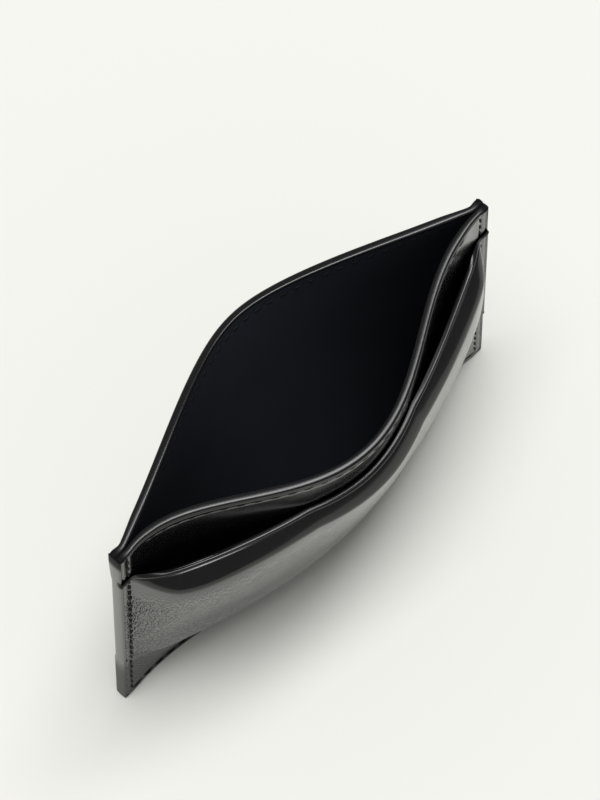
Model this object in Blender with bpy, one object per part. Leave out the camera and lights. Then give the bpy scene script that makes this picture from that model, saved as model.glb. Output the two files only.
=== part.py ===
"""Leather card holder, standing on its bottom edge with its mouth open.

Every sheet, bond and painted edge starts as a box that is cut into cells and bent to the shape of
its wall. Threads are curves that follow the same walls. X runs along the width, Y towards the back
and Z up, in metres.
"""

import bmesh
import bpy
import numpy as np

# Overall size, measured flat
FLAT_WIDTH = 0.100
FLAT_HEIGHT = 0.075

# Thickness of each layer
LEATHER = 0.00100
SKIVED = 0.00072
SKIVE_WIDTH = 0.006
LINING = 0.00030
LEAF = 0.00085
LEAF_SKIVED = 0.00045
EDGE_PAINT = 0.00040
BOND = 0.00010

# Clearances between layers
LAYER_GAP = 0.00014
LEAF_GAP = 0.00026
PAINT_GAP = 0.00010
THREAD_GAP = 0.00010

# How the open mouth bends the walls
RIM_PULL = 0.0047
BASE_BOW = 0.0065
BASE_SHARE = -0.5
BACK_BOW = 0.0169
FRONT_BOW = 0.0160
BELLY_SHARE = 0.36
BELLY_POWER = 5.3

# Front pocket
POCKET_LOW = 0.0216
POCKET_DROP = 0.0113
POCKET_BOW = 0.0144
POCKET_LEAST_GAP = 0.0003
POCKET_CURL = 0.0021
CURL_LEAST = 0.0010
CURL_STRETCH = 1.35
CURL_ROWS = 0.0080
BOND_HEIGHT = 0.0050

# Stitching
THREAD_RADIUS = 0.00022
STITCH_PITCH = 0.0023
STITCH_WAVE = 0.00012
SEAM_MARGIN = 0.0020
RIM_MARGIN = 0.0022
RIM_ROW_INSET = 0.0068
CLAMPED = SEAM_MARGIN + 0.0006

# Cells along each sheet
ACROSS = 24

# Reach of the slope measured across a sheet: wide enough to round the crease at a seam
NEAR = 0.02

INSET = EDGE_PAINT + PAINT_GAP
POCKET_TOP = FLAT_HEIGHT - POCKET_DROP
SHEET_LOW = INSET
SHEET_HIGH = FLAT_HEIGHT - INSET


def ramp(t):
    """Smooth step from 0 to 1."""
    t = np.clip(t, 0.0, 1.0)
    return t * t * (3.0 - 2.0 * t)


def half_width(h):
    """Half the chord of a wall at height h: the open mouth pulls the side seams together."""
    return FLAT_WIDTH / 2 - RIM_PULL * h / FLAT_HEIGHT


def bend(x, left, right, shift=0.0):
    """Shape of a bowed sheet from seam to seam: a flat-ended bell at 0, an arch at 1, blended along x."""
    x = x + shift * (1.0 - x * x)
    share = left + (right - left) * (x + 1.0) / 2
    return share * np.cos(np.pi * x / 2) + (1.0 - share) * (1.0 + np.cos(np.pi * x)) / 2


def tent(x, blunt, shift=0.0):
    """Shape of a sheet held up along its middle: a peak whose straight flanks meet in a curve."""
    x = x + shift * (1.0 - x * x)
    end = np.sqrt(1.0 + blunt ** 2)
    return (end - np.sqrt(x ** 2 + blunt ** 2)) / (end - blunt)


def span(q, h):
    """Place between the two side seams, from -1 to 1, held at the ends inside the clamped margins."""
    half = half_width(h)
    return np.clip(q * half / (half - CLAMPED), -1.0, 1.0)


def climb(h):
    """Share of the way from the bottom seam to the rim."""
    return np.clip((h - CLAMPED) / (FLAT_HEIGHT - CLAMPED), 0.0, 1.0)


def back_bow(q, h):
    x = span(q, h)
    e = climb(h)
    top = 0.8 * tent(x, 0.2, -0.02) + 0.2 * bend(x, 0.0, 0.0)
    return BACK_BOW * e * top - BASE_BOW * (1.0 - e) * bend(x, BASE_SHARE, BASE_SHARE)


def front_bow(q, h):
    x = span(q, h)
    e = climb(h)
    rise = BELLY_SHARE * (1.0 - (1.0 - e) ** BELLY_POWER) + (1.0 - BELLY_SHARE) * e
    reach = BASE_BOW + (FRONT_BOW - BASE_BOW) * rise
    low = BASE_SHARE + (1.0 - BASE_SHARE) * ramp(h / POCKET_LOW)
    high = ramp((h - POCKET_LOW) / (FLAT_HEIGHT - POCKET_LOW))
    return reach * bend(x, low - 1.4 * high, low - 1.0 * high, 0.02 * high)


def pocket_gape(q, h):
    """How far the leaf stands off the front wall: up to a crest, then inwards again to the mouth."""
    x = span(q, h)
    wall_at_mouth = front_bow(q, np.full_like(h, POCKET_TOP))
    least = POCKET_LEAST_GAP * bend(x, 1.0, 1.0)
    mouth = np.maximum(POCKET_BOW * bend(x, 0.66, 0.75, 0.02) - wall_at_mouth, least)
    curl = POCKET_CURL * (1.0 - 0.10 * x + 0.55 * x ** 2) * (1.0 - x ** 12)
    strip = CURL_LEAST + CURL_STRETCH * curl
    bonded = POCKET_LOW + BOND_HEIGHT
    opened = ramp((h - bonded) / (POCKET_TOP - strip - bonded)) ** 0.7
    tucked = np.maximum(1.0 - (POCKET_TOP - h) / strip, 0.0) ** 1.2
    return (mouth + curl) * opened - curl * tucked


def wall_face(side, bow, q, h):
    """Points of a wall's inner face. It is as long as the flat sheet, so a leaning wall stands lower."""
    steps = 75
    cell = FLAT_HEIGHT / steps
    inward = q * RIM_PULL / FLAT_HEIGHT
    height = np.zeros_like(h)
    for k in range(steps + 1):
        lean = (bow(q, np.full_like(h, (k + 1) * cell)) - bow(q, np.full_like(h, k * cell))) / cell
        slope = np.sqrt(np.maximum(1.0 - lean ** 2 - inward ** 2, 0.1))
        height += slope * np.clip(h - k * cell, 0.0, cell)
    return np.stack([q * half_width(h), side * bow(q, h) + BASE_BOW, height], axis=-1)


def back_face(q, h):
    return wall_face(1.0, back_bow, q, h)


def front_face(q, h):
    return wall_face(-1.0, front_bow, q, h)


def leaf_face(q, h):
    """Points of the leaf's inner face. It is as long as the flat leaf, so it stands lower where it leans."""
    points = offset(front_face, q, h, outer_face(q, h) + LEAF_GAP)
    steps = 40
    cell = (FLAT_HEIGHT - POCKET_LOW) / steps
    lost = np.zeros_like(h)
    for k in range(steps):
        low = np.full_like(h, POCKET_LOW + k * cell)
        lean = (front_bow(q, low + cell) - front_bow(q, low)) / cell
        more = lean + (pocket_gape(q, low + cell) - pocket_gape(q, low)) / cell
        loss = np.sqrt(np.maximum(1.0 - lean ** 2, 0.1)) - np.sqrt(np.maximum(1.0 - more ** 2, 0.1))
        lost += loss * np.clip(h - low, 0.0, cell)
    points[:, 1] -= pocket_gape(q, h)
    points[:, 2] -= lost
    return points


def unit(v):
    return v / np.linalg.norm(v, axis=-1, keepdims=True)


def offset(face, q, h, out):
    """Points at the distance out from a face, away from the middle of the holder."""
    along = face(q + NEAR, h) - face(q - NEAR, h)
    up = face(q, h + 1e-5) - face(q, np.maximum(h - 1e-5, 0.0))
    side = 1.0 if face is back_face else -1.0
    return face(q, h) + unit(np.cross(up, along)) * (side * out)[:, None]


def skive(full, thin, q, h):
    """Leather thickness, pared down towards the side and bottom seams."""
    edge = np.minimum((1.0 - np.abs(q)) * half_width(h), h)
    return thin + (full - thin) * ramp((edge - CLAMPED) / SKIVE_WIDTH)


def at_lining(q, h):
    return np.full_like(q, LAYER_GAP / 2)


def lining_back(q, h):
    return np.full_like(q, LAYER_GAP / 2 + LINING)


def at_leather(q, h):
    return np.full_like(q, LAYER_GAP / 2 + LINING + LAYER_GAP)


def outer_face(q, h):
    return at_leather(q, h) + skive(LEATHER, SKIVED, q, h)


def at_leaf(q, h):
    return np.zeros_like(q)


def leaf_thickness(q, h):
    return skive(LEAF, LEAF_SKIVED, q, h)


def leaf_front(q, h):
    """The leaf's outer face at a side seam, measured from the middle of the seam."""
    return outer_face(q, h) + LEAF_GAP + leaf_thickness(q, h)


def runs(*pieces):
    """Row heights made of evenly cut runs, each piece being (from, to, cells)."""
    rows = [np.linspace(a, b, n + 1)[:-1] for a, b, n in pieces]
    return np.concatenate(rows + [[pieces[-1][1]]])


WALL_ROWS = runs(
    (SHEET_LOW, CLAMPED, 1),
    (CLAMPED, POCKET_LOW, 4),
    (POCKET_LOW, POCKET_LOW + BOND_HEIGHT, 1),
    (POCKET_LOW + BOND_HEIGHT, SHEET_HIGH, 7),
)
BACK_ROWS = runs((SHEET_LOW, CLAMPED, 1), (CLAMPED, SHEET_HIGH, 7))
LEAF_ROWS = runs(
    (POCKET_LOW, POCKET_LOW + BOND_HEIGHT, 1),
    (POCKET_LOW + BOND_HEIGHT, POCKET_TOP - CURL_ROWS, 5),
    (POCKET_TOP - CURL_ROWS, POCKET_TOP, 5),
)


def columns(a, h, inset):
    """Column places across a wall: one cell in each clamped margin, the rest even between them."""
    half = half_width(h)
    ends = 1.0 - inset / half
    held = 1.0 - CLAMPED / half
    n = ACROSS
    inner = -held + (a * n - 1.0) / (n - 2.0) * 2.0 * held
    left = -ends + a * n * (ends - held)
    right = held + (a * n - n + 1.0) * (ends - held)
    return np.where(a < 1.0 / n, left, np.where(a > 1.0 - 1.0 / n, right, inner))


def clear_scene():
    for item in list(bpy.data.objects):
        bpy.data.objects.remove(item)


def collection(name):
    made = bpy.data.collections.new(name)
    bpy.context.scene.collection.children.link(made)
    return made


def material(name, color, roughness):
    made = bpy.data.materials.new(name)
    made.use_nodes = True
    shader = made.node_tree.nodes["Principled BSDF"]
    shader.inputs["Base Color"].default_value = (*color, 1.0)
    shader.inputs["Roughness"].default_value = roughness
    return made


def bent_box(name, cells_a, cells_b, place, finish):
    """A box cut into cells, whose corners then move to place(a, b, c), with a, b and c from 0 to 1.

    The cells are cut along the same diagonal on every box, so that twisted layers lie parallel.
    """
    bm = bmesh.new()
    bmesh.ops.create_cube(bm, size=1.0)
    bmesh.ops.translate(bm, verts=bm.verts, vec=(0.5, 0.5, 0.5))
    for axis, cells in ((0, cells_a), (1, cells_b)):
        if cells > 1:
            edges = [e for e in bm.edges if abs(e.verts[0].co[axis] - e.verts[1].co[axis]) > 0.5]
            bmesh.ops.subdivide_edges(bm, edges=edges, cuts=cells - 1, use_grid_fill=True)
    corners = np.array([v.co[:] for v in bm.verts])
    a, b, c = corners.T
    slanted = np.stack([a * cells_a + 0.3 * b * cells_b, b * cells_b, c], axis=-1)
    for vert, to in zip(bm.verts, slanted):
        vert.co = to
    bmesh.ops.triangulate(bm, faces=bm.faces, quad_method="SHORT_EDGE")
    for vert, to in zip(bm.verts, place(a, b, c)):
        vert.co = to
    if bm.calc_volume(signed=True) < 0.0:
        bmesh.ops.reverse_faces(bm, faces=bm.faces)
    mesh = bpy.data.meshes.new(name)
    bm.to_mesh(mesh)
    bm.free()
    made = bpy.data.objects.new(name, mesh)
    mesh.materials.append(finish)
    PARTS.objects.link(made)
    return made


def sheet(name, face, rows, inner, outer, finish):
    """A bent sheet between the distances inner(q, h) and outer(q, h) from a face."""

    def place(a, b, c):
        h = np.interp(b, np.linspace(0.0, 1.0, len(rows)), rows)
        q = columns(a, h, INSET)
        near = inner(q, h)
        return offset(face, q, h, near + (outer(q, h) - near) * c)

    return bent_box(name, ACROSS, len(rows) - 1, place, finish)


def rim_bead(name, face, at, grow, inset, inner, outer, finish):
    """Painted edge along a cut edge at height at, crowned over the sheet's thickness."""

    def place(a, b, c):
        h = np.full_like(a, at)
        q = columns(a, h, inset)
        near = inner(q, h)
        out = near + (outer(q, h) - near) * b
        foot = offset(face, q, h, out)
        upward = unit(foot - offset(face, q, h - 0.0005, out))
        crown = np.sqrt(1.0 - 0.75 * (2.0 * b - 1.0) ** 2)
        ends = np.where((a < 1e-6) | (a > 1.0 - 1e-6), 0.6, 1.0)
        return foot + upward * (grow * c * crown * ends)[:, None]

    return bent_box(name, ACROSS, 4, place, finish)


def hem_bond(name, finish):
    """Bond film between the leaf's lower edge and the front wall."""
    free = (LEAF_GAP - BOND) / 2

    def place(a, b, c):
        h = POCKET_LOW + BOND_HEIGHT * (0.1 + 0.8 * b)
        q = columns((1.0 + a * (ACROSS - 2)) / ACROSS, h, INSET)
        return offset(front_face, q, h, outer_face(q, h) + free + BOND * c)

    return bent_box(name, ACROSS - 2, 1, place, finish)


def side_bead(name, hand, finish):
    """Painted edge down one side, over all the layers, and wider where the pocket leaf is in the seam."""
    top = SHEET_HIGH
    step = 0.0010
    rows = runs(
        (0.0, POCKET_LOW - EDGE_PAINT - step, 3),
        (POCKET_LOW - EDGE_PAINT - step, POCKET_LOW - EDGE_PAINT, 1),
        (POCKET_LOW - EDGE_PAINT, POCKET_TOP + EDGE_PAINT, 6),
        (POCKET_TOP + EDGE_PAINT, POCKET_TOP + EDGE_PAINT + step, 1),
        (POCKET_TOP + EDGE_PAINT + step, top, 2),
    )
    low = POCKET_LOW - EDGE_PAINT - step / 2
    high = POCKET_TOP + EDGE_PAINT + step / 2

    def place(a, b, c):
        h = np.interp(a, np.linspace(0.0, 1.0, len(rows)), rows)
        q = np.full_like(h, float(hand))
        base = front_face(q, h)
        back = outer_face(q, h)
        front = np.where((h > low) & (h < high), leaf_front(q, h), outer_face(q, h))
        crown = np.sqrt(1.0 - 0.75 * (2.0 * b - 1.0) ** 2)
        base[:, 0] -= hand * EDGE_PAINT * (1.0 - c * crown)
        base[:, 1] += back - (back + front) * b
        return base

    return bent_box(name, len(rows) - 1, 4, place, finish)


def bottom_bead(name, finish):
    """Painted bottom edge, flat underneath over most of its width: the holder stands on it."""

    def place(a, b, c):
        low = np.zeros_like(a)
        q = columns(a, low, EDGE_PAINT + PAINT_GAP)
        b = np.interp(b, [0.0, 0.25, 0.5, 0.75, 1.0], [0.0, 0.1, 0.5, 0.9, 1.0])
        base = front_face(q, low)
        out = outer_face(q, low)
        lift = np.where(np.abs(b - 0.5) > 0.45, 0.45, 0.0)
        base[:, 1] += out - 2.0 * out * b
        base[:, 2] = EDGE_PAINT * (1.0 - c * (1.0 - lift))
        return base

    return bent_box(name, ACROSS, 4, place, finish)


def thread(name, path, finish):
    """One continuous round thread through the points that path() gives along a seam."""
    curve = bpy.data.curves.new(name, "CURVE")
    curve.dimensions = "3D"
    curve.bevel_depth = THREAD_RADIUS
    curve.bevel_resolution = 0
    curve.use_fill_caps = True
    points = path()
    spline = curve.splines.new("POLY")
    spline.points.add(len(points) - 1)
    for point, co in zip(spline.points, points):
        point.co = (*co, 1.0)
    made = bpy.data.objects.new(name, curve)
    curve.materials.append(finish)
    PARTS.objects.link(made)
    return made


def waves(length):
    """Places along a seam, two to a stitch, and the thread's lift there: low at a hole, high between."""
    stitches = max(2, round(length / STITCH_PITCH))
    t = np.linspace(0.0, 1.0, 2 * stitches + 1)
    lift = np.where(np.arange(len(t)) % 2 == 1, STITCH_WAVE, 0.0)
    return t, lift + THREAD_GAP + THREAD_RADIUS


def rim_path(face, outside):
    """Along a rim's stitch row, on the outer leather or on the lining."""

    def path():
        at = FLAT_HEIGHT - RIM_MARGIN
        reach = 1.0 - RIM_ROW_INSET / half_width(at)
        t, lift = waves(2 * reach * half_width(at))
        q = reach * (2.0 * t - 1.0)
        h = np.full_like(q, at)
        return offset(face, q, h, outer_face(q, h) + lift if outside else at_lining(q, h) - lift)

    return path


def perimeter_path(face):
    """Down the left side, along the bottom and up the right side, over the pocket leaf on the front."""

    def path():
        top = FLAT_HEIGHT - SEAM_MARGIN
        down, lift_down = waves(top - SEAM_MARGIN)
        over, lift_over = waves(FLAT_WIDTH - 2 * SEAM_MARGIN)
        h_down = top + (SEAM_MARGIN - top) * down
        h = np.concatenate([h_down, np.full(len(over) - 2, SEAM_MARGIN), h_down[::-1]])
        q_side = 1.0 - SEAM_MARGIN / half_width(h_down)
        q_low = (2.0 * over - 1.0) * (1.0 - SEAM_MARGIN / half_width(SEAM_MARGIN))
        q = np.concatenate([-q_side, q_low[1:-1], q_side[::-1]])
        lift = np.concatenate([lift_down, lift_over[1:-1], lift_down[::-1]])
        near_leaf = (h > POCKET_LOW - STITCH_PITCH) & (h < POCKET_TOP + STITCH_PITCH)
        on_leaf = near_leaf & (face is front_face)
        return offset(face, q, h, np.where(on_leaf, leaf_front(q, h), outer_face(q, h)) + lift)

    return path


clear_scene()
PARTS = collection("card_holder")

calf = material("calf_leather", (0.018, 0.018, 0.020), 0.45)
lining = material("lining_leather", (0.010, 0.010, 0.012), 0.60)
paint = material("edge_paint", (0.012, 0.012, 0.014), 0.25)
polyester = material("polyester_thread", (0.008, 0.008, 0.009), 0.55)
glue = material("bond_film", (0.030, 0.028, 0.026), 0.70)


sheet("back_panel", back_face, BACK_ROWS, at_leather, outer_face, calf)
sheet("back_lining", back_face, BACK_ROWS, at_lining, lining_back, lining)
sheet("front_panel", front_face, WALL_ROWS, at_leather, outer_face, calf)
sheet("front_lining", front_face, WALL_ROWS, at_lining, lining_back, lining)
sheet("pocket_leaf", leaf_face, LEAF_ROWS, at_leaf, leaf_thickness, calf)
hem_bond("hem_bond", glue)

rim_at = FLAT_HEIGHT - EDGE_PAINT
mouth_at = POCKET_TOP + PAINT_GAP
hem_at = POCKET_LOW - PAINT_GAP
rim_bead("back_rim_edge_paint", back_face, rim_at, EDGE_PAINT, 0.0, at_lining, outer_face, paint)
rim_bead("front_rim_edge_paint", front_face, rim_at, EDGE_PAINT, 0.0, at_lining, outer_face, paint)
rim_bead("pocket_mouth_edge_paint", leaf_face, mouth_at, EDGE_PAINT, INSET, at_leaf, leaf_thickness, paint)
rim_bead("pocket_hem_edge_paint", leaf_face, hem_at, -EDGE_PAINT, INSET, at_leaf, leaf_thickness, paint)
side_bead("left_edge_paint", -1, paint)
side_bead("right_edge_paint", 1, paint)
bottom_bead("bottom_edge_paint", paint)

thread("back_rim_needle_thread", rim_path(back_face, True), polyester)
thread("back_rim_bobbin_thread", rim_path(back_face, False), polyester)
thread("front_rim_needle_thread", rim_path(front_face, True), polyester)
thread("front_rim_bobbin_thread", rim_path(front_face, False), polyester)
thread("perimeter_needle_thread", perimeter_path(front_face), polyester)
thread("perimeter_bobbin_thread", perimeter_path(back_face), polyester)
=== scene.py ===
import bpy
import numpy as np
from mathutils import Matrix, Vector


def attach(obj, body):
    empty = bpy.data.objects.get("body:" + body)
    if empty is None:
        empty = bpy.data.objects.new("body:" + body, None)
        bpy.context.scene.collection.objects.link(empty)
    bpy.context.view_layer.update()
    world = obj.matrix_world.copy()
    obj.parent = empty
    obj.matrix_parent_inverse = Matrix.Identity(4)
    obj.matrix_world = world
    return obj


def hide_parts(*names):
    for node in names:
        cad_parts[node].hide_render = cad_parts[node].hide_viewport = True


# Leather card holder, standing on its bottom edge with its mouth bowed open.
# Every piece is a grid or a row of rings of points worked out from the flat cut: q runs from -1 at
# the left side edge to 1 at the right one, and h is the distance up the flat sheet, in metres.

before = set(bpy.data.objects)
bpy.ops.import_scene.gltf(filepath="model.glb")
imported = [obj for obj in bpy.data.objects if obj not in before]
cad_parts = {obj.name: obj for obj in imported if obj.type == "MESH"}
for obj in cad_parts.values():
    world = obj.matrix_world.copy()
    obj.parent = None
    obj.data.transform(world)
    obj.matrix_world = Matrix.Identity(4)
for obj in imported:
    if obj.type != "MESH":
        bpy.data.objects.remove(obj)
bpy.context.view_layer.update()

MM = 0.001

# Flat size and layers, as in the solids, but pressed thinner where the leaf is sewn in
FLAT_WIDTH = 100 * MM
FLAT_HEIGHT = 75 * MM
LEATHER = 1.00 * MM
SKIVED = 0.72 * MM
SKIVE_WIDTH = 6 * MM
LINING = 0.30 * MM
LEAF = 0.85 * MM
LEAF_SKIVED = 0.32 * MM
EDGE_PAINT = 0.40 * MM
BOND = 0.06 * MM
LAYER_GAP = 0.14 * MM
PRESS = 0.22 * MM
LEAF_GAP = 0.14 * MM

# How the open mouth bends the walls
RIM_PULL = 4.7 * MM
BASE_BOW = 6.5 * MM
BASE_SHARE = -0.5
BACK_BOW = 16.9 * MM
FRONT_BOW = 16.0 * MM
BELLY_SHARE = 0.36
BELLY_POWER = 5.3

# Front pocket
POCKET_LOW = 21.6 * MM
POCKET_TOP = FLAT_HEIGHT - 11.3 * MM
POCKET_BOW = 14.2 * MM
POCKET_LEAST_GAP = 0.3 * MM
MOUTH_PUFF = 1.0 * MM
POCKET_CURL = 2.3 * MM
CURL_LEAST = 1.0 * MM
CURL_STRETCH = 1.1
BOND_HEIGHT = 5 * MM

# Stitching
THREAD_RADIUS = 0.22 * MM
RIM_PITCH = 2.5 * MM
SEAM_PITCH = 3.0 * MM
SEAM_MARGIN = 2.0 * MM
RIM_MARGIN = 2.2 * MM
RIM_ROW_INSET = 6.8 * MM
CLAMPED = SEAM_MARGIN + 0.6 * MM

# The even grid that each wall is worked out on
GRID_Q = np.linspace(-1.0, 1.0, 601)
GRID_H = np.linspace(0.0, FLAT_HEIGHT, 376)


# ---------------------------------------------------------------- shape of the walls

def ramp(t):
    """Smooth step from 0 to 1: three squares less two cubes."""
    t = np.clip(t, 0.0, 1.0)
    return t * t * (3.0 - 2.0 * t)


def half_width(h):
    """Half the chord of a wall: half the flat width, less the pull of the open mouth in proportion to h."""
    return FLAT_WIDTH / 2 - RIM_PULL * h / FLAT_HEIGHT


def bend(x, left, right, shift=0.0):
    """A bowed sheet from seam to seam: a flat-ended bell (0) mixed with a cosine arch (1) along x."""
    x = x + shift * (1.0 - x * x)
    share = left + (right - left) * (x + 1.0) / 2
    return share * np.cos(np.pi * x / 2) + (1.0 - share) * (1.0 + np.cos(np.pi * x)) / 2


def tent(x, blunt, shift=0.0):
    """A sheet held up along its middle: a peak whose straight flanks meet in a curve, as a hyperbola does."""
    x = x + shift * (1.0 - x * x)
    end = np.sqrt(1.0 + blunt ** 2)
    return (end - np.sqrt(x ** 2 + blunt ** 2)) / (end - blunt)


def span(q, h):
    """Place between the side seams, from -1 to 1, held at the ends inside the clamped margins."""
    half = half_width(h)
    return np.clip(q * half / (half - CLAMPED), -1.0, 1.0)


def climb(h):
    """Share of the way from the bottom seam to the rim."""
    return np.clip((h - CLAMPED) / (FLAT_HEIGHT - CLAMPED), 0.0, 1.0)


def back_bow(q, h):
    """The back wall's bow: grows evenly with height, from a bell that leans forward at the bottom."""
    x, e = span(q, h), climb(h)
    top = 0.8 * tent(x, 0.2, -0.02) + 0.2 * bend(x, 0.0, 0.0)
    return BACK_BOW * e * top - BASE_BOW * (1.0 - e) * bend(x, BASE_SHARE, BASE_SHARE)


def front_bow(q, h):
    """The front wall's bow: a belly that fills fast above the bottom seam, arched low and belled high."""
    x, e = span(q, h), climb(h)
    rise = BELLY_SHARE * (1.0 - (1.0 - e) ** BELLY_POWER) + (1.0 - BELLY_SHARE) * e
    reach = BASE_BOW + (FRONT_BOW - BASE_BOW) * rise
    low = BASE_SHARE + (1.0 - BASE_SHARE) * ramp(h / POCKET_LOW)
    high = ramp((h - POCKET_LOW) / (FLAT_HEIGHT - POCKET_LOW))
    return reach * bend(x, low - 1.4 * high, low - 1.0 * high, 0.02 * high)


def pocket_gape(q, h):
    """How far the leaf stands off the front wall: a smooth step up from its bonded edge to a crest, and from
    there inwards again to the mouth, as a power of the distance from the crest."""
    x = span(q, h)
    wall_at_mouth = front_bow(q, np.full_like(h, POCKET_TOP))
    least = POCKET_LEAST_GAP * bend(x, 1.0, 1.0)
    mouth = np.maximum(POCKET_BOW * bend(x, 0.66, 0.75, 0.02) - wall_at_mouth, least)
    mouth = mouth + MOUTH_PUFF * (1.0 - x ** 24) * ramp((-x - 0.25) / 0.6)
    curl = POCKET_CURL * (1.0 - 0.10 * x + 0.55 * x ** 2) * (1.0 - x ** 12)
    strip = CURL_LEAST + CURL_STRETCH * curl
    bonded = POCKET_LOW + BOND_HEIGHT
    opened = ramp((h - bonded) / (POCKET_TOP - strip - bonded)) ** 0.7
    tucked = np.maximum(1.0 - (POCKET_TOP - h) / strip, 0.0) ** 1.2
    return (mouth + curl) * opened - curl * tucked


def soften(values, times):
    """Rounds the crease beside a seam: each value along q becomes a quarter, half, quarter mean, many times."""
    for _ in range(times):
        padded = np.concatenate([values[:1], values, values[-1:]])
        values = (padded[:-2] + 2.0 * padded[1:-1] + padded[2:]) / 4
    return values


def unit(v):
    return v / np.linalg.norm(v, axis=-1, keepdims=True)


def facing(points, side):
    """Outward directions of a grid: the cross product of its slopes, turned to the back (1) or front (-1)."""
    along, up = np.gradient(points, axis=0), np.gradient(points, axis=1)
    return unit(np.cross(up, along)) * side


def wall(side, bow):
    """A wall's inner face: bowed in Y, pulled in along X, and as high as a sheet of that length reaches."""
    q, h = np.meshgrid(GRID_Q, GRID_H, indexing="ij")
    out = soften(bow(q, h), 14)
    lean = np.gradient(out, GRID_H, axis=1)
    slope = np.sqrt(np.maximum(1.0 - lean ** 2 - (q * RIM_PULL / FLAT_HEIGHT) ** 2, 0.1))
    cells = (slope[:, 1:] + slope[:, :-1]) / 2 * (GRID_H[1] - GRID_H[0])
    height = np.concatenate([np.zeros((len(GRID_Q), 1)), np.cumsum(cells, axis=1)], axis=1)
    points = np.stack([q * half_width(h), side * out + BASE_BOW, height], axis=-1)
    return points, facing(points, side)


def skive(full, thin, q, h):
    """Leather thickness, pared down towards the side and bottom seams by a smooth step."""
    edge = np.minimum((1.0 - np.abs(q)) * half_width(h), h)
    return thin + (full - thin) * ramp((edge - CLAMPED) / SKIVE_WIDTH)


AT_LINING = LAYER_GAP / 2
LINING_BACK = AT_LINING + LINING
AT_LEATHER = LINING_BACK + LAYER_GAP


def outer_face(q, h):
    """A panel's outer face: its pared thickness, pressed thinner in the side seams under the leaf."""
    sewn_in = ramp((h - POCKET_LOW + MM) / (2 * MM)) * ramp((POCKET_TOP + MM - h) / (2 * MM))
    return AT_LEATHER + skive(LEATHER, SKIVED - PRESS * sewn_in, q, h)


def leaf_thickness(q, h):
    return skive(LEAF, LEAF_SKIVED, q, h)


def leaf_wall(front):
    """The leaf's inner face: the front wall's outer face and a gap, moved forward by the gape, and lowered
    by the height that a sheet of the same length loses where it leans."""
    q, h = np.meshgrid(GRID_Q, GRID_H, indexing="ij")
    points, out = front
    points = points + out * (outer_face(q, h) + LEAF_GAP)[..., None]
    gape = soften(pocket_gape(q, h), 14)
    lean = np.gradient(-points[..., 1], GRID_H, axis=1)
    more = lean + np.gradient(gape, GRID_H, axis=1) * (h > POCKET_LOW)
    lost = np.sqrt(np.maximum(1.0 - lean ** 2, 0.1)) - np.sqrt(np.maximum(1.0 - more ** 2, 0.1))
    points[..., 1] -= gape
    points[..., 2] -= np.cumsum(lost, axis=1) * (GRID_H[1] - GRID_H[0])
    return points, facing(points, -1.0)


def lookup(grid, q, h):
    """Value of a wall's grid at any q and h: the mean of the four nearest points, weighted by nearness."""
    i = np.clip((q + 1.0) / 2 * (len(GRID_Q) - 1), 0.0, len(GRID_Q) - 1.001)
    k = np.clip(h / FLAT_HEIGHT * (len(GRID_H) - 1), 0.0, len(GRID_H) - 1.001)
    a, b = i.astype(int), k.astype(int)
    s, t = (i - a)[..., None], (k - b)[..., None]
    low = grid[a, b] * (1.0 - s) + grid[a + 1, b] * s
    high = grid[a, b + 1] * (1.0 - s) + grid[a + 1, b + 1] * s
    return low * (1.0 - t) + high * t


def spot(place, q, h, out):
    """Point at the distance out from a wall's inner face, along the wall's outward direction."""
    q, h = np.broadcast_arrays(q, h)
    return lookup(place[0], q, h) + lookup(place[1], q, h) * np.asarray(out)[..., None]


BACK = wall(1.0, back_bow)
FRONT = wall(-1.0, front_bow)
LEAF_WALL = leaf_wall(FRONT)


# ---------------------------------------------------------------- meshes

def lofted(name, rings, finish, node, crisp=40.0):
    """Closed bodies from rings of points: quads from ring to ring, and strips across the first and last ring.

    rings has the axes (body,) ring, point round the ring, coordinate.
    """
    rings = rings.reshape(-1, *rings.shape[-3:])
    bodies, rows, around = rings.shape[:3]
    index = np.arange(bodies * rows * around).reshape(bodies, rows, around)
    turned = np.roll(index, -1, axis=2)
    sides = np.stack([index[:, :-1], turned[:, :-1], turned[:, 1:], index[:, 1:]], axis=-1)
    near, far = index[..., : around // 2], index[..., : around // 2 - 1 : -1]
    caps = np.stack([near[..., :-1], far[..., :-1], far[..., 1:], near[..., 1:]], axis=-1)
    faces = np.concatenate([
        sides.reshape(-1, 4), caps[:, 0].reshape(-1, 4)[:, ::-1], caps[:, -1].reshape(-1, 4)
    ])
    co = rings.reshape(-1, 3)
    a, b, c, d = (co[faces[:, k]] for k in range(4))
    if np.sum(np.cross(c - a, d - b) * (a + b + c + d)) < 0.0:
        faces = faces[:, ::-1]
    mesh = bpy.data.meshes.new(name)
    mesh.vertices.add(len(co))
    mesh.vertices.foreach_set("co", co.astype(np.float32).ravel())
    mesh.loops.add(faces.size)
    mesh.loops.foreach_set("vertex_index", faces.astype(np.int32).ravel())
    mesh.polygons.add(len(faces))
    mesh.polygons.foreach_set("loop_start", np.arange(0, faces.size, 4, dtype=np.int32))
    mesh.update(calc_edges=True)
    mesh.polygons.foreach_set("use_smooth", np.ones(len(faces), dtype=bool))
    mesh.set_sharp_from_angle(angle=np.radians(crisp))
    mesh.materials.append(finish)
    piece = bpy.data.objects.new(name, mesh)
    bpy.context.scene.collection.objects.link(piece)
    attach(piece, "root")
    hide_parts(node)
    return piece


def runs(*pieces):
    """Places made of evenly cut runs, each piece being (from, to, cells)."""
    parts = [np.linspace(a, b, n + 1)[:-1] for a, b, n in pieces]
    return np.concatenate(parts + [[pieces[-1][1]]])


SHEET_END = 0.25 * MM
MARGIN = runs((SHEET_END, 1.2 * MM, 16), (1.2 * MM, 3.4 * MM, 16), (3.4 * MM, 8 * MM, 14))
MIDDLE = 150


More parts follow.
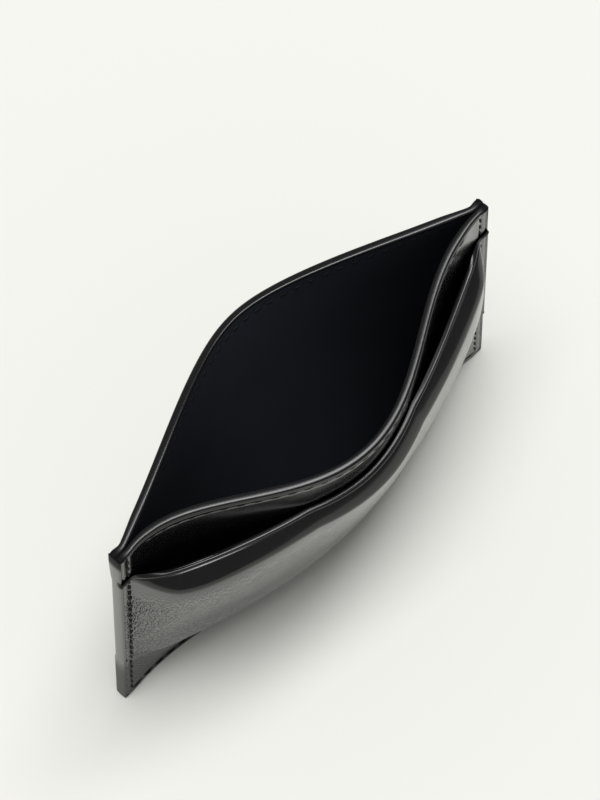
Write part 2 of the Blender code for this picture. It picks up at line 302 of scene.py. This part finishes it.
def columns(h):
    """Column places at each row height: fine steps from each side edge, even steps between."""
    near = MARGIN[:, None] / half_width(h)[None, :] - 1.0
    t = np.linspace(0.0, 1.0, MIDDLE + 1)[1:-1, None]
    return np.concatenate([near, near[-1:] * (1.0 - 2.0 * t), -near[::-1]])


PLAIN_STRIP = 9 * MM
PLAIN_LIP = 3 * MM
GRAIN_STEP = 12 * MM


def sheet(name, place, rows, inner, outer, finish, plain=PLAIN_STRIP):
    """A leather sheet: rings that run across its outer face and back across its inner one, row by row.

    Its grain comes in by a smooth step below the plain strip along the upper edge, which was pressed flat.
    """
    q = columns(rows)
    h = np.broadcast_to(rows, q.shape)
    front = spot(place, q, h, outer(q, h))
    back = spot(place, q, h, inner(q, h))
    rings = np.concatenate([front, back[::-1]]).transpose(1, 0, 2)
    piece = lofted(name, rings, finish, name)
    grain = ramp((rows[-1] - rows - plain) / GRAIN_STEP)
    layer = piece.data.attributes.new("grain", "FLOAT", "POINT")
    layer.data.foreach_set("value", np.repeat(grain, rings.shape[1]).astype(np.float32))
    return piece


def dent(d, at, width):
    """A rounded furrow of unit depth: a bell curve round the distance at."""
    return np.exp(-(((d - at) / width) ** 2))


def drift(q, h, phase):
    """Slow waves of hand-cut leather: three crossed sines, 9 to 31 mm long, between about -1 and 1."""
    x = q * FLAT_WIDTH / 2
    return (
        0.5 * np.sin(2 * np.pi * (x / (23 * MM) + h / (31 * MM)) + phase)
        + 0.3 * np.sin(2 * np.pi * (x / (13 * MM) - h / (19 * MM)) + 2.1 * phase)
        + 0.2 * np.sin(2 * np.pi * (x / (9 * MM) + h / (14 * MM)) + 3.7 * phase)
    )


CREASE_AT = 0.98 * MM
CREASE_WIDTH = 0.24 * MM
CREASE_DEPTH = 0.20 * MM
LIP_WIDTH = 0.22 * MM
LIP_DEPTH = 0.12 * MM
PULL_WIDTH = 0.45 * MM
PULL_DEPTH = 0.15 * MM
DRIFT = 0.035 * MM


def edge_roll(d):
    """The last half millimetre before a cut edge rolls off by a tenth."""
    return 0.10 * MM * (1.0 - ramp(d / (0.55 * MM)))


def gutter(side):
    """The narrow furrow where the leather meets the painted side edge."""
    return 0.16 * MM * dent(side, 0.66 * MM, 0.15 * MM)


def panel_outer(phase):
    """A panel's outer face: its thickness, less the rim's crease, the thread's furrows, and drift."""

    def outer(q, h):
        side = (1.0 - np.abs(q)) * half_width(h)
        top = FLAT_HEIGHT - h
        within = ramp((side - RIM_ROW_INSET + 1 * MM) / MM)
        furrow = PULL_DEPTH * np.maximum(dent(np.minimum(side, h), SEAM_MARGIN, PULL_WIDTH),
                                         0.5 * dent(top, RIM_MARGIN, PULL_WIDTH) * within)
        crease = CREASE_DEPTH * dent(top, CREASE_AT, CREASE_WIDTH) * ramp(side / (2 * MM)) + gutter(side)
        return outer_face(q, h) - furrow - crease - edge_roll(top) + DRIFT * drift(q, h, phase)

    return outer


def leaf_outer(q, h):
    """The leaf's outer face: its thickness, less the mouth's crease, the side seams' furrows, and drift."""
    side = (1.0 - np.abs(q)) * half_width(h)
    top = POCKET_TOP + EDGE_PAINT - h
    furrow = PULL_DEPTH * dent(side, SEAM_MARGIN, PULL_WIDTH)
    crease = LIP_DEPTH * dent(top, CREASE_AT, LIP_WIDTH) * ramp(side / (2 * MM)) + gutter(side)
    return leaf_thickness(q, h) - furrow - crease - edge_roll(top) + DRIFT * drift(q, h, 0.9)


def hem_outer(q, h):
    """The painted lower edge of the leaf ends a little below the leaf's outer face."""
    return leaf_thickness(q, h) - 0.12 * MM


def lining_inner(q, h):
    """The lining's bare face, with the furrow that thread pulls along the rim."""
    side = (1.0 - np.abs(q)) * half_width(h)
    within = ramp((side - RIM_ROW_INSET + 1 * MM) / MM)
    return AT_LINING + 0.03 * MM * dent(FLAT_HEIGHT - h, RIM_MARGIN, PULL_WIDTH) * within


def level(distance):
    """The same distance all over a sheet."""
    return lambda q, h: np.full(q.shape, distance)


ROUND = 20
TURN = np.linspace(0.0, 2 * np.pi, ROUND, endpoint=False) + np.pi / ROUND


def squarish(power):
    """A rounded square of half side 1: cosine and sine, each raised to 2 / power with its sign kept."""
    c, s = np.cos(TURN), np.sin(TURN)
    return np.sign(c) * np.abs(c) ** (2 / power), np.sign(s) * np.abs(s) ** (2 / power)


def domed(d, reach):
    """Size of a bead near its end: a quarter circle from 0 at the end to 1 at the distance reach."""
    return np.sqrt(np.clip(1.0 - (1.0 - np.clip(d / reach, 0.0, 1.0)) ** 2, 0.002, 1.0))


SKIRT = 0.38 * MM
SIDE_SKIRT = 0.12 * MM
PROUD = 0.04 * MM
FLARE = 0.35 * MM
BEAD_POWER = 2.7


def rim_bead(name, place, at, grow, inner, outer, finish, knob=0.0, power=BEAD_POWER, swell=1.0, skirt=SKIRT):
    """Painted edge: a rounded square round the cut edge, a little proud of both faces, with domed ends.

    Its size is the factor swell, and it reaches down over the faces by the length skirt. Near each end it
    swells more, by the share knob, as a bell curve, where the brush left a drop of paint.
    """
    half = half_width(at)
    x = np.concatenate([-half + runs((0.0, 1 * MM, 12)), np.linspace(-half, half, 244)[3:-3],
                        half - runs((0.0, 1 * MM, 12))[::-1]])
    q = x / half
    h = np.full_like(q, at)
    size = domed(half - np.abs(x), 0.5 * MM)[:, None]
    drop = swell + knob * dent(half - np.abs(x), 0.9 * MM, 0.9 * MM)[:, None]
    across, up = squarish(power)
    near, far = inner(q, h)[:, None] - PROUD, outer(q, h)[:, None] + PROUD
    out = (near + far) / 2 + (far - near) / 2 * across * (0.35 + 0.65 * size) * drop
    low = spot(place, q, h - 0.5 * MM, 0.0)
    upward = unit(spot(place, q, h, 0.0) - low)[:, None, :]
    middle = (EDGE_PAINT - skirt) / 2 * grow
    lift = middle + (EDGE_PAINT + skirt) / 2 * up * size * drop
    rings = spot(place, q[:, None] + 0.0 * out, h[:, None] + 0.0 * out, out) + upward * lift[..., None]
    return lofted(name, rings, finish, name)


def side_bead(name, hand, finish):
    """Painted side edge: a rounded bar over all the layers, widened by smooth steps beside the leaf."""
    step = 0.5 * MM
    low, high = POCKET_LOW - EDGE_PAINT, POCKET_TOP + EDGE_PAINT
    h = runs((0.0, 1 * MM, 8), (1 * MM, low - step, 26), (low - step, low + step, 10),
             (low + step, high - step, 50), (high - step, high + step, 10),
             (high + step, FLAT_HEIGHT - 1.2 * MM, 14), (FLAT_HEIGHT - 1.2 * MM, FLAT_HEIGHT - 0.3 * MM, 8))
    q = np.full_like(h, float(hand))
    leaf = ramp((h - low + step) / (2 * step)) * ramp((high + step - h) / (2 * step))
    back = outer_face(q, h) + PROUD + FLARE * ramp((h - POCKET_TOP) / (7 * MM))
    front = outer_face(q, h) + PROUD + leaf * (LEAF_GAP + leaf_thickness(q, h))
    size = np.minimum(domed(h + 0.15 * MM, 0.5 * MM), domed(FLAT_HEIGHT - 0.25 * MM - h, 0.6 * MM))[:, None]
    across, out = squarish(2.5)
    base = spot(FRONT, q, h, 0.0)[:, None, :]
    x = base[..., 0] + hand * ((EDGE_PAINT + SIDE_SKIRT) / 2 * (out * size - 1.0))
    y = base[..., 1] + ((back - front) / 2)[:, None] + ((back + front) / 2)[:, None] * across * size
    z = base[..., 2] + 0.0 * x
    return lofted(name, np.stack([x, y, z], axis=-1), finish, name)


def bottom_bead(name, finish):
    """Painted bottom edge: a rounded bar along the bottom seam, pressed flat where it stands."""
    x = runs((-FLAT_WIDTH / 2 + EDGE_PAINT, FLAT_WIDTH / 2 - EDGE_PAINT, 200))
    q = x / half_width(0.0)
    low = np.zeros_like(q)
    base = spot(FRONT, q, low, 0.0)[:, None, :]
    across, up = squarish(3.6)
    wide = (outer_face(q, low) + PROUD)[:, None]
    y = base[..., 1] + wide * across
    z = (EDGE_PAINT + SKIRT) / 2 * (1.0 + up) + 0.0 * y
    return lofted(name, np.stack([base[..., 0] + 0.0 * y, y, z], axis=-1), finish, name)


def bond_strip(name, finish):
    """Bond film between the leaf's lower edge and the front wall: a thin strip with a rounded section."""
    across, up = squarish(4.0)
    x = np.linspace(-1.0, 1.0, 120)
    q = x * (1.0 - CLAMPED / half_width(POCKET_LOW)) * 0.999
    h = POCKET_LOW + BOND_HEIGHT * (0.5 + 0.4 * up) + 0.0 * q[:, None]
    q = q[:, None] + 0.0 * h
    out = outer_face(q, h) + LEAF_GAP / 2 + BOND / 2 * across
    return lofted(name, spot(FRONT, q, h, out), finish, name)


# ---------------------------------------------------------------- stitches

STITCH_SIDES = 6
STITCH_RINGS = 7
STITCH_SLANT = 0.16 * MM
STITCH_LIFT = 0.07 * MM
STITCH_SINK = 0.26 * MM


def stitches(name, holes, outward, finish):
    """One stitch from each needle hole to the next: a round thread on a slanted arch, sunk at both ends."""
    start, end = holes[:-1], holes[1:]
    normal = unit(outward[:-1] + outward[1:])[:, None, :]
    along = unit(end - start)[:, None, :]
    aside = np.cross(normal, along)
    u = np.linspace(0.0, 1.0, STITCH_RINGS)[None, :, None]
    arch = (STITCH_LIFT + STITCH_SINK) * np.sin(np.pi * u) ** 0.7 - STITCH_SINK
    centre = start[:, None] * (1.0 - u) + end[:, None] * u
    centre = centre + normal * arch + aside * (STITCH_SLANT * (2.0 * u - 1.0))
    turn = np.linspace(0.0, 2 * np.pi, STITCH_SIDES, endpoint=False)[None, None, :, None]
    thick = THREAD_RADIUS * (0.72 + 0.28 * np.sin(np.pi * u))[..., None]
    rings = centre[:, :, None] + thick * (
        np.cos(turn) * normal[:, :, None] + np.sin(turn) * aside[:, :, None]
    )
    return lofted(name, rings, finish, name, crisp=80.0)


def rim_row(name, place, outer, finish):
    """Stitches along a rim, at one margin below it, on the outer leather or on the lining."""
    at = FLAT_HEIGHT - RIM_MARGIN
    reach = half_width(at) - RIM_ROW_INSET
    q = np.linspace(-reach, reach, round(2 * reach / RIM_PITCH) + 1) / half_width(at)
    h = np.full_like(q, at)
    outward = lookup(place[1], q, h)
    if outer:
        return stitches(name, spot(place, q, h, outer_face(q, h) - 0.20 * MM), outward, finish)
    return stitches(name, spot(place, q, h, AT_LINING + 0.15 * MM), -outward, finish)


def perimeter_row(name, place, finish):
    """Stitches down the left side, along the bottom and up the right side, over the leaf on the front."""
    top = FLAT_HEIGHT - SEAM_MARGIN
    down = np.linspace(top, SEAM_MARGIN, round((top - SEAM_MARGIN) / SEAM_PITCH) + 1)
    over = np.linspace(-1.0, 1.0, round((FLAT_WIDTH - 2 * SEAM_MARGIN) / SEAM_PITCH) + 1)[1:-1]
    h = np.concatenate([down, np.full(len(over), SEAM_MARGIN), down[::-1]])
    side = 1.0 - SEAM_MARGIN / half_width(down)
    q = np.concatenate([-side, over * (1.0 - SEAM_MARGIN / half_width(SEAM_MARGIN)), side[::-1]])
    sunk = (0.13 + 0.08 * np.sign(q)) * MM
    holes = spot(place, q, h, outer_face(q, h) - sunk)
    outward = lookup(place[1], q, h)
    if place is FRONT:
        leaf = ((h > POCKET_LOW) & (h < POCKET_TOP))[:, None]
        holes = np.where(leaf, spot(LEAF_WALL, q, h, leaf_thickness(q, h) - sunk), holes)
        outward = np.where(leaf, lookup(LEAF_WALL[1], q, h), outward)
    return stitches(name, holes, outward, finish)


# ---------------------------------------------------------------- finishes

def srgb(code):
    """Linear colour of an sRGB hex value."""
    c = np.array([int(code[k:k + 2], 16) for k in (1, 3, 5)]) / 255
    c = np.where(c <= 0.04045, c / 12.92, ((c + 0.055) / 1.055) ** 2.4)
    return (*c.tolist(), 1.0)


def add(tree, kind, inputs=None, **settings):
    """Adds a node with its settings; an input is a value, or an output socket that is linked to it."""
    made = tree.nodes.new("ShaderNode" + kind)
    for key, value in settings.items():
        setattr(made, key, value)
    for key, value in (inputs or {}).items():
        if isinstance(value, bpy.types.NodeSocket):
            tree.links.new(value, made.inputs[key])
        else:
            made.inputs[key].default_value = value
    return made


def blank(name):
    """An empty material with its Principled shader and object coordinates."""
    made = bpy.data.materials.new(name)
    made.use_nodes = True
    tree = made.node_tree
    shader = tree.nodes["Principled BSDF"]
    return made, tree, shader, add(tree, "TexCoord").outputs["Object"]


def fade(tree, value, start, end, first, last):
    """A smooth change of a value into another one: first up to start, and last from end on."""
    return add(tree, "MapRange", {"Value": value, "From Min": start, "From Max": end, "To Min": first,
                                  "To Max": last}, interpolation_type="SMOOTHSTEP").outputs[0]


def calf_leather():
    """Aniline black calf, lightly plated: soft upright pebbles about 0.4 mm wide under a semi-matt finish, so
    it is nearly black face on and mirrors a pale floor softly at a grazing angle. The pebbles stand out most at
    the front's left side, and the front's low left corner is duller."""
    made, tree, shader, at = blank("pebbled_calf")
    long = add(tree, "VectorMath", {0: at, 1: (1.0, 1.0, 0.34)}, operation="MULTIPLY").outputs[0]
    bends = add(tree, "TexNoise", {"Vector": long, "Scale": 1 / (1.6 * MM), "Detail": 2.0})
    warped = add(tree, "VectorMath", {0: bends.outputs["Color"], 1: (0.00022,) * 3}, operation="MULTIPLY")
    moved = add(tree, "VectorMath", {0: long, 1: warped.outputs[0]}, operation="ADD")
    pebble = add(tree, "TexVoronoi", {"Vector": moved.outputs[0], "Scale": 1 / (0.38 * MM),
                                      "Smoothness": 0.4}, feature="SMOOTH_F1")
    pores = add(tree, "TexNoise", {"Vector": long, "Scale": 1 / (0.28 * MM), "Detail": 3.0})
    depth = add(tree, "MapRange", {"Value": pebble.outputs["Distance"], "From Min": 0.1, "From Max": 0.75,
                                   "To Min": 1.0, "To Max": 0.0})
    both = add(tree, "Math", {0: pores.outputs["Fac"], 1: 0.35, 2: depth.outputs[0]},
               operation="MULTIPLY_ADD")
    place = add(tree, "SeparateXYZ", {0: at})
    pressed = add(tree, "Attribute", attribute_name="grain").outputs["Fac"]
    across = fade(tree, place.outputs["X"], -36 * MM, 10 * MM, 1.0, 0.3)
    ahead = fade(tree, place.outputs["Y"], 5.0 * MM, 6.5 * MM, 1.0, 0.0)
    front = add(tree, "Math", {0: across, 1: ahead}, operation="MULTIPLY").outputs[0]
    broad = add(tree, "Math", {0: front, 1: 0.35}, operation="MAXIMUM").outputs[0]
    grain = add(tree, "Math", {0: pressed, 1: broad}, operation="MULTIPLY").outputs[0]
    bump = add(tree, "Bump", {"Height": both.outputs[0], "Strength": grain, "Distance": 0.17 * MM})
    cloud = add(tree, "TexNoise", {"Vector": at, "Scale": 1 / (11 * MM), "Detail": 3.0})
    colour = add(tree, "Mix", {"Factor": cloud.outputs["Fac"], "A": srgb("#0A0A0B"), "B": srgb("#111113")},
                 data_type="RGBA")
    low = fade(tree, place.outputs["Z"], 17 * MM, 21 * MM, 0.32, 0.0)
    left = fade(tree, place.outputs["X"], -30 * MM, 20 * MM, 1.0, 0.0)
    near = add(tree, "Math", {0: left, 1: ahead}, operation="MULTIPLY").outputs[0]
    polish = add(tree, "Math", {0: low, 1: near}, operation="MULTIPLY").outputs[0]
    rough = add(tree, "Math", {0: cloud.outputs["Fac"], 1: 0.08, 2: 0.12}, operation="MULTIPLY_ADD")
    worn = add(tree, "Math", {0: rough.outputs[0], 1: polish}, operation="ADD")
    tree.links.new(colour.outputs["Result"], shader.inputs["Base Color"])
    tree.links.new(worn.outputs[0], shader.inputs["Roughness"])
    tree.links.new(bump.outputs[0], shader.inputs["Normal"])
    shader.inputs["IOR"].default_value = 1.5
    return made


def lining_leather():
    """Split lining leather, dyed through: smooth, matt and blue-black, with fine fibres 0.2 mm apart."""
    made, tree, shader, at = blank("split_lining")
    fibre = add(tree, "TexNoise", {"Vector": at, "Scale": 1 / (0.22 * MM), "Detail": 3.0})
    bump = add(tree, "Bump", {"Height": fibre.outputs["Fac"], "Strength": 0.35, "Distance": 0.03 * MM})
    cloud = add(tree, "TexNoise", {"Vector": at, "Scale": 1 / (14 * MM), "Detail": 2.0})
    colour = add(tree, "Mix", {"Factor": cloud.outputs["Fac"], "A": srgb("#1E2027"), "B": srgb("#282A32")},
                 data_type="RGBA")
    tree.links.new(colour.outputs["Result"], shader.inputs["Base Color"])
    tree.links.new(bump.outputs[0], shader.inputs["Normal"])
    shader.inputs["Roughness"].default_value = 0.55
    shader.inputs["IOR"].default_value = 1.5
    return made


def edge_paint():
    """Acrylic edge paint, brushed on and burnished: a smooth glossy black film with slow ripples 3 mm long.

    It is matt and dark where a dab closes the corners and the ends of the leaf's mouth, and duller low down.
    """
    made, tree, shader, at = blank("burnished_edge_paint")
    ripple = add(tree, "TexNoise", {"Vector": at, "Scale": 1 / (3 * MM), "Detail": 1.0})
    bump = add(tree, "Bump", {"Height": ripple.outputs["Fac"], "Strength": 0.2, "Distance": 0.06 * MM})
    place = add(tree, "SeparateXYZ", {0: at})
    off = add(tree, "Math", {0: place.outputs["X"]}, operation="ABSOLUTE").outputs[0]
    ends = fade(tree, off, 42.5 * MM, 44.5 * MM, 0.0, 1.0)
    top = fade(tree, place.outputs["Z"], 69.5 * MM, 72.5 * MM, 0.0, 1.0)
    under = fade(tree, place.outputs["Z"], 61.8 * MM, 62.8 * MM, 0.0, 1.0)
    over = fade(tree, place.outputs["Z"], 64.2 * MM, 65.0 * MM, 1.0, 0.0)
    ahead = fade(tree, place.outputs["Y"], 5.4 * MM, 6.4 * MM, 1.0, 0.0)
    level_with = add(tree, "Math", {0: under, 1: over}, operation="MULTIPLY").outputs[0]
    mouth = add(tree, "Math", {0: level_with, 1: ahead}, operation="MULTIPLY").outputs[0]
    bands = add(tree, "Math", {0: top, 1: mouth}, operation="MAXIMUM").outputs[0]
    dab = add(tree, "Math", {0: ends, 1: bands}, operation="MULTIPLY").outputs[0]
    rough = add(tree, "Math", {0: dab, 1: 0.4, 2: 0.22}, operation="MULTIPLY_ADD").outputs[0]
    gloss = add(tree, "Math", {0: dab, 1: -0.4, 2: 0.5}, operation="MULTIPLY_ADD").outputs[0]
    low = fade(tree, place.outputs["Z"], 14 * MM, 22 * MM, 0.25, 0.0)
    worn = add(tree, "Math", {0: rough, 1: low}, operation="ADD")
    colour = add(tree, "Mix", {"Factor": ripple.outputs["Fac"], "A": srgb("#0B0B0C"), "B": srgb("#111113")},
                 data_type="RGBA")
    tree.links.new(colour.outputs["Result"], shader.inputs["Base Color"])
    tree.links.new(worn.outputs[0], shader.inputs["Roughness"])
    tree.links.new(gloss, shader.inputs["Specular IOR Level"])
    tree.links.new(bump.outputs[0], shader.inputs["Normal"])
    shader.inputs["IOR"].default_value = 1.5
    return made


def polyester_thread():
    """Bonded black polyester thread: twisted filaments, each turn about 0.35 mm, with a low silky sheen."""
    made, tree, shader, at = blank("bonded_polyester")
    twist = add(tree, "TexWave", {"Vector": at, "Scale": 1 / (0.35 * MM) / 20, "Distortion": 1.0},
                bands_direction="DIAGONAL")
    bump = add(tree, "Bump", {"Height": twist.outputs["Fac"], "Strength": 0.5, "Distance": 0.04 * MM})
    colour = add(tree, "Mix", {"Factor": twist.outputs["Fac"], "A": srgb("#070708"), "B": srgb("#0E0E10")},
                 data_type="RGBA")
    tree.links.new(colour.outputs["Result"], shader.inputs["Base Color"])
    tree.links.new(bump.outputs[0], shader.inputs["Normal"])
    shader.inputs["Roughness"].default_value = 0.7
    shader.inputs["Specular IOR Level"].default_value = 0.25
    return made


def bond_film():
    """Dried contact cement: a thin, uneven, dull brown-black film."""
    made, tree, shader, at = blank("contact_cement")
    lumps = add(tree, "TexNoise", {"Vector": at, "Scale": 1 / (1.5 * MM), "Detail": 3.0})
    colour = add(tree, "Mix", {"Factor": lumps.outputs["Fac"], "A": srgb("#1E1C1A"), "B": srgb("#35312C")},
                 data_type="RGBA")
    tree.links.new(colour.outputs["Result"], shader.inputs["Base Color"])
    shader.inputs["Roughness"].default_value = 0.7
    return made


def studio_paper():
    """Matt warm-white paper: the plain floor that the holder stands on, and that its leather mirrors."""
    made, tree, shader, at = blank("studio_paper")
    shader.inputs["Base Color"].default_value = srgb("#F5F5EF")
    shader.inputs["Roughness"].default_value = 0.9
    shader.inputs["Specular IOR Level"].default_value = 0.0
    return made


# ---------------------------------------------------------------- the holder

calf = calf_leather()
lining = lining_leather()
paint = edge_paint()
polyester = polyester_thread()
cement = bond_film()

SHEET_TOP = FLAT_HEIGHT - 0.25 * MM
WALL_ROWS = runs((0.3 * MM, 5 * MM, 18), (5 * MM, 26 * MM, 36), (26 * MM, 60 * MM, 32),
                 (60 * MM, 70 * MM, 24), (70 * MM, SHEET_TOP, 40))
LINING_ROWS = runs((0.3 * MM, 5 * MM, 8), (5 * MM, 60 * MM, 50), (60 * MM, 70 * MM, 16),
                   (70 * MM, SHEET_TOP, 26))
LEAF_ROWS = runs((POCKET_LOW - 0.1 * MM, POCKET_LOW + 3 * MM, 14), (POCKET_LOW + 3 * MM, 48 * MM, 46),
                 (48 * MM, 60 * MM, 40), (60 * MM, POCKET_TOP + 0.15 * MM, 36))

sheet("back_panel", BACK, WALL_ROWS, level(AT_LEATHER), panel_outer(0.4), calf)
sheet("back_lining", BACK, LINING_ROWS, lining_inner, level(LINING_BACK), lining)
sheet("front_panel", FRONT, WALL_ROWS, level(AT_LEATHER), panel_outer(2.2), calf)
sheet("front_lining", FRONT, LINING_ROWS, lining_inner, level(LINING_BACK), lining)
sheet("pocket_leaf", LEAF_WALL, LEAF_ROWS, level(0.0), leaf_outer, calf,
      PLAIN_LIP)
bond_strip("hem_bond", cement)

RIM_AT = FLAT_HEIGHT - EDGE_PAINT
rim_bead("back_rim_edge_paint", BACK, RIM_AT, 1, level(AT_LINING), outer_face, paint, 0.22)
rim_bead("front_rim_edge_paint", FRONT, RIM_AT, 1, level(AT_LINING), outer_face, paint, 0.22)
rim_bead("pocket_mouth_edge_paint", LEAF_WALL, POCKET_TOP, 1, level(0.0), leaf_thickness, paint,
         knob=0.4, power=1.25, swell=1.2, skirt=2.4 * SKIRT)
rim_bead("pocket_hem_edge_paint", LEAF_WALL, POCKET_LOW, -1, level(0.0), hem_outer, paint)
side_bead("left_edge_paint", -1, paint)
side_bead("right_edge_paint", 1, paint)
bottom_bead("bottom_edge_paint", paint)

rim_row("back_rim_needle_thread", BACK, True, polyester)
rim_row("back_rim_bobbin_thread", BACK, False, polyester)
rim_row("front_rim_needle_thread", FRONT, True, polyester)
rim_row("front_rim_bobbin_thread", FRONT, False, polyester)
perimeter_row("perimeter_needle_thread", FRONT, polyester)
perimeter_row("perimeter_bobbin_thread", BACK, polyester)


# ---------------------------------------------------------------- floor, light and camera

FLOOR_HALF = 3.0
floor_mesh = bpy.data.meshes.new("floor")
floor_mesh.from_pydata(
    [(-FLOOR_HALF, -FLOOR_HALF, 0.0), (FLOOR_HALF, -FLOOR_HALF, 0.0),
     (FLOOR_HALF, FLOOR_HALF, 0.0), (-FLOOR_HALF, FLOOR_HALF, 0.0)], [], [(0, 1, 2, 3)])
floor_mesh.materials.append(studio_paper())
floor = bpy.data.objects.new("floor", floor_mesh)
bpy.context.scene.collection.objects.link(floor)

# A long softbox overhead, made of four soft suns side by side, and an even fill
def lamp(name, direction, energy, angle):
    """A sun lamp that shines along a direction, as wide in the sky as the angle in degrees."""
    light = bpy.data.lights.new(name, "SUN")
    light.energy = energy
    light.angle = np.radians(angle)
    made = bpy.data.objects.new(name, light)
    made.rotation_euler = Vector(direction).to_track_quat("-Z", "Y").to_euler()
    bpy.context.scene.collection.objects.link(made)


SOFTBOX = ((-0.52, 0.28, 13.0), (-0.28, 0.46, 16.0), (-0.03, 0.80, 21.0), (0.23, 0.96, 24.0))
for number, (tilt, energy, angle) in enumerate(SOFTBOX):
    lamp(f"softbox_{number + 1}", (tilt, 0.0, -1.0), energy, angle)

world = bpy.data.worlds.new("studio")
bpy.context.scene.world = world
world.use_nodes = True
world.node_tree.nodes["Background"].inputs["Color"].default_value = (1.0, 1.0, 1.0, 1.0)
world.node_tree.nodes["Background"].inputs["Strength"].default_value = 0.25

camera = bpy.data.cameras.new("camera")
camera.sensor_fit = "VERTICAL"
camera.sensor_height = 36.0
camera.lens = 127.2
camera.clip_start = 0.01
viewer = bpy.data.objects.new("camera", camera)
viewer.location = Vector((-0.12550, -0.12043 + BASE_BOW, 0.52318))
target = Vector((0.00665, 0.00724 + BASE_BOW, 0.0375))
viewer.rotation_euler = (target - viewer.location).to_track_quat("-Z", "Y").to_euler()
bpy.context.scene.collection.objects.link(viewer)
bpy.context.scene.camera = viewer
bpy.context.scene.view_settings.view_transform = "Standard"
